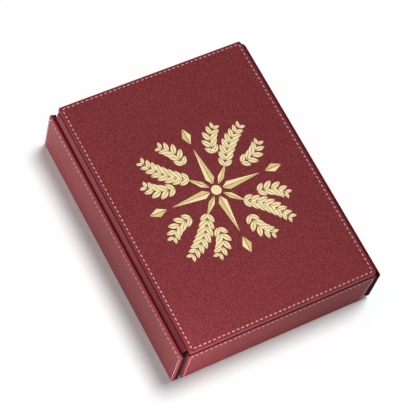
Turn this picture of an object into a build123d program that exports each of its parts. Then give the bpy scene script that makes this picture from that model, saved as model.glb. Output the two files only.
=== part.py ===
from build123d import *
import os

# Book-shaped dice chest, closed. Millimetres, +Z up.
# The origin is the middle of the underside. The spine is at -X, the flap at +X,
# the drawer front at -Y.

# ---- driving sizes ----------------------------------------------------------

# lid, drawn over the whole chest like the board of a book
lid_width = 180.0
lid_length = 248.4
lid_thickness = 5.2
lining_inset = 2.0            # the lid's lining stops this far inside its edges
lid_clearance = 0.3           # between the lid's lining and the wall tops

# skins and boards
leather = 0.6
velvet = 0.8
wall = 3.0                    # black case boards
base_thickness = 2.0
shelf_thickness = 2.0
housing_depth = 1.0           # how deep the shelf sits in the side walls
corner_radius = 1.6           # corners of every wrapped board, in plan
edge_radius = 0.5             # roll of the leather over a board's edge

# spine
spine_thickness = 2.8
spine_inset = 0.7             # shorter than the lid by this much at each end
spine_top_drop = 5.6          # the spine's top edge below the lid's top face

# hinge strip, between the spine's top and the lid's left edge
hinge_gap = 5.2               # from the case's left face to the lid's left edge
strip_seat_drop = 2.1         # left wall's top below the spine's top
strip_thickness = 0.8
strip_end_inset = 3.0
strip_lid_rise = 2.2          # the strip meets the lid's edge this far above its underside
strip_clearance = 0.2

# flap on the right-hand side, hung from the lid by a folded leather
fold_overhang = 3.2           # from the lid's right edge to the case's right face
flap_gap = 0.4
flap_thickness = 3.8
flap_foot = 3.4               # finger room under the flap
flap_top_drop = 10.5          # the flap's top edge below the lid's top face
flap_end_inset = 0.2
fold_end_inset = 2.6
fold_thickness = 1.0
fold_top_drop = 0.5           # fold leather starts this far below the lid's top face
fold_bulge = 0.9              # how far the fold bows out of a straight line

# short-side panels: the drawer's front at -Y and its fixed twin at +Y
panel_setback = 0.3           # behind the lid's edge
panel_thickness = 3.0
panel_left_reveal = 5.2       # black case edge left bare beside the spine
panel_right_reveal = 0.6      # the same beside the flap, at the panel's top
panel_taper = 1.6             # the flap end narrows by this much towards the foot
panel_top_gap = 3.4           # shadow gap under the lid
panel_foot = 0.4
drawer_gap = 0.3              # between the drawer's front panel and the case

# inside
drawer_room = 25.0            # height of the drawer's space
tray_depth = 21.4             # shelf to wall top
tray_pad_thickness = 1.5
lining_lip = 1.2              # low wall and drawer tops left bare above the velvet
divider_thickness = 1.6
divider_drop = 2.4            # divider tops below the wall tops
divider_clearance = 0.3
divider_slot_clearance = 0.3
long_dividers = 2
cross_dividers = 3

# drawer box
drawer_board = 2.0
drawer_side_clearance = 0.4
drawer_top_clearance = 0.5
drawer_floor_clearance = 0.3
drawer_back_gap = 0.6
drawer_divider_from_back = 74.0
drawer_divider_drop = 3.0

# magnets
flap_magnet_radius = 5.0
drawer_magnet_radius = 4.0
magnet_thickness = 1.5
magnet_pocket_clearance = 0.1
flap_magnet_spacing = 80.0
flap_magnet_count = 3
flap_magnet_height = 16.0
drawer_magnet_spacing = 110.0
drawer_magnet_count = 2

# ---- where things lie -------------------------------------------------------

case_width = hinge_gap + lid_width + fold_overhang
overall_width = spine_thickness + case_width + flap_gap + flap_thickness

x_spine_out = -overall_width / 2
x_case_left = x_spine_out + spine_thickness
x_case_right = x_case_left + case_width
x_inner_left = x_case_left + wall
x_inner_right = x_case_right - wall
x_lid_left = x_case_left + hinge_gap
x_lid_right = x_lid_left + lid_width
x_flap_in = x_case_right + flap_gap
x_flap_out = x_flap_in + flap_thickness
x_inner_mid = (x_inner_left + x_inner_right) / 2

y_lid_front = -lid_length / 2
y_lid_back = lid_length / 2
y_front_face = y_lid_front + panel_setback
y_front_inner = y_front_face + panel_thickness
y_case_front = y_front_inner + drawer_gap
y_back_face = y_lid_back - panel_setback
y_case_back = y_back_face - panel_thickness
y_inner_front = y_case_front + wall
y_inner_back = y_case_back - wall

z_base = leather
z_floor = z_base + base_thickness
z_shelf = z_floor + drawer_room
z_tray_floor = z_shelf + shelf_thickness
z_wall_top = z_tray_floor + tray_depth
z_lid_lining = z_wall_top + lid_clearance
z_lid_under = z_lid_lining + leather
z_lid_top = z_lid_under + lid_thickness
z_spine_top = z_lid_top - spine_top_drop
z_strip_seat = z_spine_top - strip_seat_drop
z_panel_top = z_lid_under - panel_top_gap
z_flap_top = z_lid_top - flap_top_drop

x_panel_left = x_case_left + panel_left_reveal
x_panel_right = x_case_right - panel_right_reveal

os.makedirs("parts", exist_ok=True)


def block(x, y, z, mode=Mode.ADD):
    """Add a box that fills the ranges x, y and z to the open part."""
    with Locations(((x[0] + x[1]) / 2, (y[0] + y[1]) / 2, (z[0] + z[1]) / 2)):
        Box(x[1] - x[0], y[1] - y[0], z[1] - z[0], mode=mode)


def save(name, label):
    """Label a finished piece and write it out."""
    name.part.label = label
    export_step(name.part, f"parts/{label}.step")


def wrapped_slab(plane, across, up, thickness, label, magnet_height=None):
    """A board in its leather: the plane is the panel's show face, its normal points out.

    across and up are the panel's ranges along the plane's own axes. The leather covers
    the show face and the four edges, and the board fills it from behind. A magnet height
    sinks the flap's row of magnet pockets into the board's inner face.
    """
    middle = ((across[0] + across[1]) / 2, (up[0] + up[1]) / 2)
    size = (across[1] - across[0], up[1] - up[0])

    with BuildPart() as cover:
        with BuildSketch(plane):
            with Locations(middle):
                RectangleRounded(*size, corner_radius)
        extrude(amount=-thickness)
        fillet(cover.faces().sort_by(Axis(plane.origin, plane.z_dir))[-1].edges(), edge_radius)
        with BuildSketch(plane.offset(-leather)):
            with Locations(middle):
                RectangleRounded(size[0] - 2 * leather, size[1] - 2 * leather, corner_radius - leather)
        extrude(amount=leather - thickness, mode=Mode.SUBTRACT)

    with BuildPart() as board:
        with BuildSketch(plane.offset(-leather)):
            with Locations(middle):
                RectangleRounded(size[0] - 2 * leather, size[1] - 2 * leather, corner_radius - leather)
        extrude(amount=leather - thickness)
        if magnet_height is not None:
            with BuildSketch(plane.offset(-thickness)):
                with Locations((0, magnet_height)):
                    with GridLocations(flap_magnet_spacing, 1, flap_magnet_count, 1):
                        Circle(flap_magnet_radius + magnet_pocket_clearance)
            extrude(amount=magnet_thickness, mode=Mode.SUBTRACT)

    save(cover, f"{label}_cover")
    save(board, f"{label}_board")


# ---- base, case walls and shelf --------------------------------------------

# the underside's leather turns up over the base board's four edges
x_base_board = (x_case_left + leather, x_case_right - leather)
y_base_board = (y_case_front + leather, y_case_back - leather)

with BuildPart() as base_cover:
    block((x_case_left, x_case_right), (y_case_front, y_case_back), (0, z_floor))
    fillet(base_cover.edges().group_by(Axis.Z)[0], edge_radius)
    block(x_base_board, y_base_board, (z_base, z_floor), Mode.SUBTRACT)
save(base_cover, "base_cover")

with BuildPart() as base_board:
    block(x_base_board, y_base_board, (z_base, z_floor))
save(base_board, "base_board")

# the shelf's edges stand in grooves of the two side walls
shelf_left = x_inner_left - housing_depth
shelf_right = x_inner_right + housing_depth
with BuildPart() as shelf:
    block((shelf_left, shelf_right), (y_case_front, y_inner_back), (z_shelf, z_tray_floor))
save(shelf, "shelf")

with BuildPart() as left_wall:
    block((x_case_left, x_inner_left), (y_case_front, y_case_back), (z_floor, z_strip_seat))
    block((shelf_left, x_inner_left), (y_case_front, y_inner_back), (z_shelf, z_tray_floor),
          Mode.SUBTRACT)
save(left_wall, "left_wall")

z_flap_magnets = z_floor + flap_magnet_height

with BuildPart() as right_wall:
    block((x_inner_right, x_case_right), (y_case_front, y_case_back), (z_floor, z_wall_top))
    block((x_inner_right, shelf_right), (y_case_front, y_inner_back), (z_shelf, z_tray_floor),
          Mode.SUBTRACT)
    with BuildSketch(Plane.YZ.offset(x_case_right)):
        with Locations((0, z_flap_magnets)):
            with GridLocations(flap_magnet_spacing, 1, flap_magnet_count, 1):
                Circle(flap_magnet_radius + magnet_pocket_clearance)
    extrude(amount=-magnet_thickness, mode=Mode.SUBTRACT)
save(right_wall, "right_wall")

with BuildPart() as wall_magnets:
    with BuildSketch(Plane.YZ.offset(x_case_right)):
        with Locations((0, z_flap_magnets)):
            with GridLocations(flap_magnet_spacing, 1, flap_magnet_count, 1):
                Circle(flap_magnet_radius)
    extrude(amount=-magnet_thickness)
save(wall_magnets, "wall_magnets")

# the back wall carries the two catch magnets of the drawer
z_drawer_magnets = z_floor + drawer_room / 2

with BuildPart() as back_wall:
    block((x_inner_left, x_inner_right), (y_inner_back, y_case_back), (z_floor, z_wall_top))
    with BuildSketch(Plane.XZ.offset(-y_inner_back)):
        with Locations((x_inner_mid, z_drawer_magnets)):
            with GridLocations(drawer_magnet_spacing, 1, drawer_magnet_count, 1):
                Circle(drawer_magnet_radius + magnet_pocket_clearance)
    extrude(amount=-magnet_thickness, mode=Mode.SUBTRACT)
save(back_wall, "back_wall")

with BuildPart() as catch_magnets:
    with BuildSketch(Plane.XZ.offset(-y_inner_back)):
        with Locations((x_inner_mid, z_drawer_magnets)):
            with GridLocations(drawer_magnet_spacing, 1, drawer_magnet_count, 1):
                Circle(drawer_magnet_radius)
    extrude(amount=-magnet_thickness)
save(catch_magnets, "catch_magnets")

with BuildPart() as front_rail:
    block((x_inner_left, x_inner_right), (y_case_front, y_inner_front), (z_tray_floor, z_wall_top))
save(front_rail, "front_rail")

# ---- spine and fixed back panel --------------------------------------------

spine_plane = Plane(origin=(x_spine_out, 0, 0), x_dir=(0, -1, 0), z_dir=(-1, 0, 0))
wrapped_slab(
    spine_plane,
    (y_lid_front + spine_inset, y_lid_back - spine_inset),
    (0, z_spine_top),
    spine_thickness,
    "spine",
)


def short_side_panel(plane, left, right, lean, label):
    """Leather-wrapped end panel whose flap end leans in towards the foot.

    left and right are its ends along the plane's own x axis at the top, and lean is how
    far each of the two has moved in at the foot.
    """

    def corners(inset):
        return [
            (left + lean[0] + inset, panel_foot + inset),
            (right - lean[1] - inset, panel_foot + inset),
            (right - inset, z_panel_top - inset),
            (left + inset, z_panel_top - inset),
        ]

    with BuildPart() as cover:
        with BuildSketch(plane) as show_face:
            Polygon(*corners(0), align=None)
            fillet(show_face.vertices(), corner_radius)
        extrude(amount=-panel_thickness)
        fillet(cover.faces().sort_by(Axis(plane.origin, plane.z_dir))[-1].edges(), edge_radius)
        with BuildSketch(plane.offset(-leather)) as pocket:
            Polygon(*corners(leather), align=None)
            fillet(pocket.vertices(), corner_radius - leather)
        extrude(amount=leather - panel_thickness, mode=Mode.SUBTRACT)

    with BuildPart() as board:
        with BuildSketch(plane.offset(-leather)) as core:
            Polygon(*corners(leather), align=None)
            fillet(core.vertices(), corner_radius - leather)
        extrude(amount=leather - panel_thickness)

    save(cover, f"{label}_cover")
    save(board, f"{label}_board")


back_plane = Plane(origin=(0, y_back_face, 0), x_dir=(-1, 0, 0), z_dir=(0, 1, 0))
short_side_panel(back_plane, -x_panel_right, -x_panel_left, (panel_taper, 0), "back_panel")

# ---- upper compartment: pad, velvet and the crossed dividers ----------------

z_pad_top = z_tray_floor + tray_pad_thickness
z_tray_lined = z_pad_top + velvet
z_lining_top = z_strip_seat - lining_lip

with BuildPart() as tray_pad:
    block((x_inner_left, x_inner_right), (y_inner_front, y_inner_back), (z_tray_floor, z_pad_top))
save(tray_pad, "tray_pad")

x_lined = (x_inner_left + velvet, x_inner_right - velvet)
y_lined = (y_inner_front + velvet, y_inner_back - velvet)

with BuildPart() as tray_lining:
    block((x_inner_left, x_inner_right), (y_inner_front, y_inner_back), (z_pad_top, z_lining_top))
    block(x_lined, y_lined, (z_tray_lined, z_lining_top), Mode.SUBTRACT)
save(tray_lining, "tray_lining")

z_divider_top = z_wall_top - divider_drop
z_lap = (z_tray_lined + z_divider_top) / 2
slot_width = divider_thickness + divider_slot_clearance
long_pitch = (x_lined[1] - x_lined[0]) / (long_dividers + 1)
cross_pitch = (y_lined[1] - y_lined[0]) / (cross_dividers + 1)
long_x = [x_lined[0] + long_pitch * (i + 1) for i in range(long_dividers)]
cross_y = [y_lined[0] + cross_pitch * (i + 1) for i in range(cross_dividers)]

# long dividers are notched from above, cross dividers from below, and lap half and half
with BuildPart() as dividers_long:
    for x in long_x:
        block(
            (x - divider_thickness / 2, x + divider_thickness / 2),
            (y_lined[0] + divider_clearance, y_lined[1] - divider_clearance),
            (z_tray_lined, z_divider_top),
        )
        for y in cross_y:
            block(
                (x - divider_thickness, x + divider_thickness),
                (y - slot_width / 2, y + slot_width / 2),
                (z_lap - divider_slot_clearance / 2, z_divider_top),
                Mode.SUBTRACT,
            )
save(dividers_long, "dividers_long")

with BuildPart() as dividers_cross:
    for y in cross_y:
        block(
            (x_lined[0] + divider_clearance, x_lined[1] - divider_clearance),
            (y - divider_thickness / 2, y + divider_thickness / 2),
            (z_tray_lined, z_divider_top),
        )
        for x in long_x:
            block(
                (x - slot_width / 2, x + slot_width / 2),
                (y - divider_thickness, y + divider_thickness),
                (z_tray_lined, z_lap + divider_slot_clearance / 2),
                Mode.SUBTRACT,
            )
save(dividers_cross, "dividers_cross")

# ---- soft hinge strip on the left wall, under the lid's left edge ------------

strip_start = (x_case_left + strip_clearance, z_strip_seat)
strip_end = (x_lid_left - strip_clearance, z_lid_under + strip_lid_rise)
strip_rise = strip_end[1] - strip_start[1]
strip_run = strip_end[0] - strip_start[0]
strip_length = lid_length - 2 * strip_end_inset

with BuildPart() as hinge_strip:
    with BuildSketch(Plane.XZ.offset(-strip_length / 2)):
        with BuildLine():
            outer = EllipticalCenterArc(
                (strip_end[0], strip_start[1]), strip_run, strip_rise, start_angle=90, arc_size=90
            )
            Line(outer @ 1, (strip_start[0] + strip_thickness, strip_start[1]))
            inner = EllipticalCenterArc(
                (strip_end[0], strip_start[1]),
                strip_run - strip_thickness,
                strip_rise - strip_thickness,
                start_angle=90,
                arc_size=90,
            )
            Line(inner @ 0, outer @ 0)
        make_face()
    extrude(amount=strip_length)
save(hinge_strip, "hinge_strip")

# ---- lid ---------------------------------------------------------------------

lid_plane = Plane.XY.offset(z_lid_top)
wrapped_slab(
    lid_plane, (x_lid_left, x_lid_right), (y_lid_front, y_lid_back), lid_thickness, "lid"
)

with BuildPart() as lid_lining:
    with BuildSketch(Plane.XY.offset(z_lid_lining)):
        with Locations(((x_lid_left + x_lid_right) / 2, 0)):
            RectangleRounded(
                lid_width - 2 * lining_inset, lid_length - 2 * lining_inset, corner_radius
            )
    extrude(amount=leather)
save(lid_lining, "lid_lining")

# ---- flap and its leather fold ----------------------------------------------

flap_plane = Plane(origin=(x_flap_out, 0, 0), x_dir=(0, 1, 0), z_dir=(1, 0, 0))
wrapped_slab(
    flap_plane,
    (y_lid_front + flap_end_inset, y_lid_back - flap_end_inset),
    (flap_foot, z_flap_top),
    flap_thickness - leather,
    "flap",
    magnet_height=z_flap_magnets,
)
x_flap_board_in = x_flap_in + leather

with BuildPart() as flap_magnets:
    with BuildSketch(Plane.YZ.offset(x_flap_board_in)):
        with Locations((0, z_flap_magnets)):
            with GridLocations(flap_magnet_spacing, 1, flap_magnet_count, 1):
                Circle(flap_magnet_radius)
    extrude(amount=magnet_thickness)
save(flap_magnets, "flap_magnets")

with BuildPart() as flap_lining:
    with BuildSketch(Plane.YZ.offset(x_flap_in)):
        with Locations((0, (flap_foot + z_flap_top) / 2)):
            RectangleRounded(
                lid_length - 2 * (flap_end_inset + leather),
                z_flap_top - flap_foot - 2 * leather,
                corner_radius,
            )
    extrude(amount=leather)
save(flap_lining, "flap_lining")

fold_start = Vector(x_lid_right, z_lid_top - fold_top_drop)
fold_end = Vector(x_flap_out - edge_radius, z_flap_top + strip_clearance)
fold_run = fold_end - fold_start
fold_out = Vector(-fold_run.Y, fold_run.X).normalized()
fold_middle = (fold_start + fold_end) / 2 + fold_out * fold_bulge
fold_shift = fold_out * -fold_thickness
fold_length = lid_length - 2 * fold_end_inset

with BuildPart() as fold_strip:
    with BuildSketch(Plane.XZ.offset(-fold_length / 2)):
        with BuildLine():
            outside = ThreePointArc(fold_start, fold_middle, fold_end)
            Line(outside @ 1, Vector(fold_end.X - fold_thickness, fold_end.Y))
            inside = ThreePointArc(
                Vector(fold_end.X - fold_thickness, fold_end.Y),
                fold_middle + fold_shift,
                Vector(fold_start.X, fold_start.Y - fold_thickness),
            )
            Line(inside @ 1, outside @ 0)
        make_face()
    extrude(amount=fold_length)
save(fold_strip, "fold_strip")

# ---- drawer --------------------------------------------------------------------

x_drawer = (x_inner_left + drawer_side_clearance, x_inner_right - drawer_side_clearance)
y_drawer = (y_front_inner, y_inner_back - drawer_back_gap)
z_drawer = (z_floor + drawer_floor_clearance, z_shelf - drawer_top_clearance)
z_drawer_inside = z_drawer[0] + drawer_board
x_drawer_inside = (x_drawer[0] + drawer_board, x_drawer[1] - drawer_board)
y_drawer_inside = (y_drawer[0] + drawer_board, y_drawer[1] - drawer_board)

front_plane = Plane(origin=(0, y_front_face, 0), x_dir=(1, 0, 0), z_dir=(0, -1, 0))
short_side_panel(front_plane, x_panel_left, x_panel_right, (0, panel_taper), "front_panel")

with BuildPart() as drawer_floor:
    block(x_drawer, y_drawer, (z_drawer[0], z_drawer_inside))
save(drawer_floor, "drawer_floor")

with BuildPart() as drawer_left_side:
    block((x_drawer[0], x_drawer_inside[0]), y_drawer, (z_drawer_inside, z_drawer[1]))
save(drawer_left_side, "drawer_left_side")

with BuildPart() as drawer_right_side:
    block((x_drawer_inside[1], x_drawer[1]), y_drawer, (z_drawer_inside, z_drawer[1]))
save(drawer_right_side, "drawer_right_side")

with BuildPart() as drawer_inner_front:
    block(x_drawer_inside, (y_drawer[0], y_drawer_inside[0]), (z_drawer_inside, z_drawer[1]))
save(drawer_inner_front, "drawer_inner_front")

with BuildPart() as drawer_back:
    block(x_drawer_inside, (y_drawer_inside[1], y_drawer[1]), (z_drawer_inside, z_drawer[1]))
    with BuildSketch(Plane.XZ.offset(-y_drawer[1])):
        with Locations((x_inner_mid, z_drawer_magnets)):
            with GridLocations(drawer_magnet_spacing, 1, drawer_magnet_count, 1):
                Circle(drawer_magnet_radius + magnet_pocket_clearance)
    extrude(amount=magnet_thickness, mode=Mode.SUBTRACT)
save(drawer_back, "drawer_back")

with BuildPart() as drawer_magnets:
    with BuildSketch(Plane.XZ.offset(-y_drawer[1])):
        with Locations((x_inner_mid, z_drawer_magnets)):
            with GridLocations(drawer_magnet_spacing, 1, drawer_magnet_count, 1):
                Circle(drawer_magnet_radius)
    extrude(amount=magnet_thickness)
save(drawer_magnets, "drawer_magnets")

z_drawer_lined = z_drawer_inside + velvet
z_drawer_lining_top = z_drawer[1] - lining_lip
x_drawer_lined = (x_drawer_inside[0] + velvet, x_drawer_inside[1] - velvet)
y_drawer_lined = (y_drawer_inside[0] + velvet, y_drawer_inside[1] - velvet)

with BuildPart() as drawer_lining:
    block(x_drawer_inside, y_drawer_inside, (z_drawer_inside, z_drawer_lining_top))
    block(x_drawer_lined, y_drawer_lined, (z_drawer_lined, z_drawer_lining_top), Mode.SUBTRACT)
save(drawer_lining, "drawer_lining")

y_drawer_divider = y_drawer_lined[1] - drawer_divider_from_back
with BuildPart() as drawer_divider:
    block(
        (x_drawer_lined[0] + divider_clearance, x_drawer_lined[1] - divider_clearance),
        (y_drawer_divider - divider_thickness / 2, y_drawer_divider + divider_thickness / 2),
        (z_drawer_lined, z_drawer[1] - drawer_divider_drop),
    )
save(drawer_divider, "drawer_divider")
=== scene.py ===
import math

import bmesh
import bpy
from mathutils import Matrix, Vector, noise


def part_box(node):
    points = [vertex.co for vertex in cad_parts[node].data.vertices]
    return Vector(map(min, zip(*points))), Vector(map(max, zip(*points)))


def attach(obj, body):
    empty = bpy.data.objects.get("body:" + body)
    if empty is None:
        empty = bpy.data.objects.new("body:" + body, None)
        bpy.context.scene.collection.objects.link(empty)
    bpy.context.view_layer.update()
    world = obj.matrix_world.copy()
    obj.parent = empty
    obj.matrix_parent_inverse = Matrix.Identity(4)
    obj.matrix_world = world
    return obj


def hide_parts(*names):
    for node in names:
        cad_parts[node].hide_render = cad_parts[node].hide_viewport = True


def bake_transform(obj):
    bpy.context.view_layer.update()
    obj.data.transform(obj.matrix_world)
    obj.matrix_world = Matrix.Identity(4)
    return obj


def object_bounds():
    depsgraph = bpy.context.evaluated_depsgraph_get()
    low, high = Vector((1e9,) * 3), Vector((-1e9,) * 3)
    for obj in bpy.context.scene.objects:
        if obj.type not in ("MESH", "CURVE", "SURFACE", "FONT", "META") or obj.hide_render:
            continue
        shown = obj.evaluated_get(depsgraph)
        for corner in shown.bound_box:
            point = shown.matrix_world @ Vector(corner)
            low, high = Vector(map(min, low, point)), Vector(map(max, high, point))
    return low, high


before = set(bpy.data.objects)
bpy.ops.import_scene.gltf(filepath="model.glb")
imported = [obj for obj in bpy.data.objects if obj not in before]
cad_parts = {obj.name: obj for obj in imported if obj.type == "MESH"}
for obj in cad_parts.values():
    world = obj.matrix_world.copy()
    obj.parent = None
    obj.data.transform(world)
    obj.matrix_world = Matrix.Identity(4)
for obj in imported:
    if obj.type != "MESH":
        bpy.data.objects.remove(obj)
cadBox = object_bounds()

mm = 0.001
xAxis, yAxis, zAxis = 0, 1, 2


# small helpers for node trees, used by the materials and the repeats

def addNode(tree, kind, settings=None, **fields):
    made = tree.nodes.new(kind)
    for field, value in fields.items():
        setattr(made, field, value)
    for socket, value in (settings or {}).items():
        if isinstance(value, bpy.types.NodeSocket):
            tree.links.new(value, made.inputs[socket])
        else:
            made.inputs[socket].default_value = value
    return made


def addMath(tree, operation, first, second=0.0, clamp=False):
    made = addNode(tree, "ShaderNodeMath", {0: first, 1: second}, operation=operation)
    made.use_clamp = clamp
    return made.outputs[0]


def addVector(tree, operation, *given):
    return addNode(tree, "ShaderNodeVectorMath", dict(enumerate(given)),
                   operation=operation).outputs[0]


def splitAxes(tree, vector):
    return addNode(tree, "ShaderNodeSeparateXYZ", {0: vector}).outputs


def joinAxes(tree, x=0.0, y=0.0, z=0.0):
    return addNode(tree, "ShaderNodeCombineXYZ", {0: x, 1: y, 2: z}).outputs[0]


def addRange(tree, value, start, end, low=0.0, high=1.0, smooth=False):
    return addNode(tree, "ShaderNodeMapRange", {
        "Value": value, "From Min": start, "From Max": end, "To Min": low, "To Max": high,
    }, interpolation_type="SMOOTHSTEP" if smooth else "LINEAR").outputs[0]


def addNoise(tree, vector, scale, detail):
    return addNode(tree, "ShaderNodeTexNoise", {
        "Vector": vector, "Scale": scale, "Detail": detail,
    }).outputs[0]


def addShares(tree, first, second, share):
    # share of the first and the rest of the second
    return addMath(tree, "ADD", addMath(tree, "MULTIPLY", first, share),
                   addMath(tree, "MULTIPLY", second, 1 - share), clamp=True)


def mixColour(tree, amount, first, second):
    made = addNode(tree, "ShaderNodeMix", {0: amount, 6: first, 7: second}, data_type="RGBA")
    return made.outputs[2]


def newGroup(name, kind, sockets):
    tree = bpy.data.node_groups.new(name, kind)
    for direction, label, socketKind, start in sockets:
        made = tree.interface.new_socket(label, in_out=direction, socket_type=socketKind)
        if start is not None:
            made.default_value = start
    return tree, tree.nodes.new("NodeGroupInput").outputs, tree.nodes.new("NodeGroupOutput")


def paint(red, green, blue):
    def linear(value):
        value /= 255
        return value / 12.92 if value <= 0.04045 else ((value + 0.055) / 1.055) ** 2.4
    return linear(red), linear(green), linear(blue), 1.0


def newMaterial(name, settings):
    material = bpy.data.materials.new(name)
    material.use_nodes = True
    tree = material.node_tree
    shader = tree.nodes["Principled BSDF"]
    for socket, value in settings.items():
        shader.inputs[socket].default_value = value
    place = tree.nodes.new("ShaderNodeTexCoord").outputs
    return material, tree, shader, place


def giveSurface(tree, shader, colour, height, distance, strength):
    bump = addNode(tree, "ShaderNodeBump", {
        "Height": height, "Distance": distance, "Strength": strength,
    })
    tree.links.new(colour, shader.inputs["Base Color"])
    tree.links.new(bump.outputs[0], shader.inputs["Normal"])


def dress(nodes, material):
    for name in nodes:
        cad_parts[name].material_slots[0].material = material


# small helpers for meshes and objects

def toMesh(name, mesh):
    data = bpy.data.meshes.new(name)
    mesh.to_mesh(data)
    mesh.free()
    return data


def addObject(name, data):
    made = bpy.data.objects.new(name, data)
    bpy.context.scene.collection.objects.link(made)
    return made


def finishMesh(name, mesh, materials, body):
    bmesh.ops.recalc_face_normals(mesh, faces=mesh.faces)
    data = toMesh(name, mesh)
    for material in materials:
        data.materials.append(material)
    made = addObject(name, data)
    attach(made, body)
    return made


# shared shader groups

floatSocket, vectorSocket = "NodeSocketFloat", "NodeSocketVector"

grainRule = {
    "detail": 3.0,
    "finePerPebble": 1.3,
    "cloudPerPebble": 0.02,
    "pebbleHeight": -0.6,
    "crownSpan": (0.12, 0.62),
    "speckSpan": (0.3, 0.7),
    "speckGain": 2.0,  # lifts the specks, most of which are dark
}
fibreRule = {"detail": 2.0, "brushedPerFibre": 0.03, "napShare": 0.5, "bump": 0.6}


def makeGrain():
    tree, given, out = newGroup("leatherGrain", "ShaderNodeTree", [
        ("INPUT", "Vector", vectorSocket, None),
        ("INPUT", "Pebbles Per Metre", floatSocket, 700.0),
        ("OUTPUT", "Height", floatSocket, None),
        ("OUTPUT", "Tone", floatSocket, None),
        ("OUTPUT", "Cloud", floatSocket, None),
    ])
    density, rule = given["Pebbles Per Metre"], grainRule
    pebble = addNode(tree, "ShaderNodeTexVoronoi", {
        "Vector": given["Vector"], "Scale": density,
    }).outputs["Distance"]
    fine, cloud = [
        addNoise(tree, given["Vector"], addMath(tree, "MULTIPLY", density, rule[scale]),
                 rule["detail"])
        for scale in ("finePerPebble", "cloudPerPebble")]
    height = addMath(tree, "ADD", addMath(tree, "MULTIPLY", pebble, rule["pebbleHeight"]), fine)
    crown = addRange(tree, pebble, *rule["crownSpan"], 1.0, 0.0)
    spread = addRange(tree, fine, *rule["speckSpan"])
    speck = addMath(tree, "MULTIPLY", crown, spread)
    tone = addMath(tree, "MULTIPLY", speck, rule["speckGain"], clamp=True)
    tree.links.new(height, out.inputs["Height"])
    tree.links.new(tone, out.inputs["Tone"])
    tree.links.new(cloud, out.inputs["Cloud"])
    return tree


def makeBorder():
    # masks of a wrapped board's rim and of its sewn line, from how far a point is inside the board
    tree, given, out = newGroup("boardBorder", "ShaderNodeTree", [
        ("INPUT", "Vector", vectorSocket, None),
        ("INPUT", "Centre", vectorSocket, None),
        ("INPUT", "Half Size", vectorSocket, None),
        ("INPUT", "Rim Width", floatSocket, 1.5 * mm),
        ("INPUT", "Seam Inset", floatSocket, 2.6 * mm),
        ("INPUT", "Seam Width", floatSocket, 0.8 * mm),
        ("OUTPUT", "Rim", floatSocket, None),
        ("OUTPUT", "Seam", floatSocket, None),
    ])
    offset = addVector(tree, "SUBTRACT", given["Vector"], given["Centre"])
    size = addVector(tree, "ABSOLUTE", offset)
    axes = splitAxes(tree, addVector(tree, "SUBTRACT", given["Half Size"], size))
    depth = addMath(tree, "MINIMUM", addMath(tree, "MINIMUM", axes[0], axes[1]), axes[2])
    fromSeam = addMath(tree, "ABSOLUTE", addMath(tree, "SUBTRACT", depth, given["Seam Inset"]))
    rim = addRange(tree, depth, 0.0, given["Rim Width"], 1.0, 0.0, smooth=True)
    line = addRange(tree, fromSeam, 0.0, given["Seam Width"], 1.0, 0.0, smooth=True)
    tree.links.new(rim, out.inputs["Rim"])
    tree.links.new(line, out.inputs["Seam"])
    return tree


def makeFibre():
    tree, given, out = newGroup("shortFibre", "ShaderNodeTree", [
        ("INPUT", "Vector", vectorSocket, None),
        ("INPUT", "Fibres Per Metre", floatSocket, 1500.0),
        ("OUTPUT", "Height", floatSocket, None),
        ("OUTPUT", "Brushed", floatSocket, None),
    ])
    fibres, detail = given["Fibres Per Metre"], fibreRule["detail"]
    patches = addMath(tree, "MULTIPLY", fibres, fibreRule["brushedPerFibre"])
    tree.links.new(addNoise(tree, given["Vector"], fibres, detail), out.inputs["Height"])
    tree.links.new(addNoise(tree, given["Vector"], patches, detail), out.inputs["Brushed"])
    return tree


grainGroup, borderGroup, fibreGroup = makeGrain(), makeBorder(), makeFibre()
print("stage: shader groups")


# leather of the wrapped boards

leatherLook = {
    "deep": paint(106, 40, 43),
    "light": paint(142, 64, 69),
    # a pale colour mixed in on the sides: painted sheen
    "paintedSheen": paint(176, 124, 126),
    "rim": paint(132, 48, 56),
    # along the sewn line: painted shade in the pressed stitch channel
    "seam": paint(92, 22, 30),
    "edgePaint": paint(50, 12, 17),
    # painted shade for the edges in the gaps under the lid and in the groove at the spine
    "paintedShade": paint(62, 2, 12),
    "toneShare": 0.85,
    "rimShare": 0.25,
    "seamShadeShare": 0.4,
    "pebblesPerMetre": 820.0,
    "roughness": (0.5, 0.6),
    "paintRoughness": 0.85,
    "grainHeight": 0.14 * mm,
    "seamDepth": 1.6,
    "bump": 0.7,
}
farAxis = 1.0  # a half size this large takes an axis out of the border masks


def placeGrain(tree, place):
    return addNode(tree, "ShaderNodeGroup", {
        "Vector": place["Object"], "Pebbles Per Metre": leatherLook["pebblesPerMetre"],
    }, node_tree=grainGroup).outputs


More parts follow.
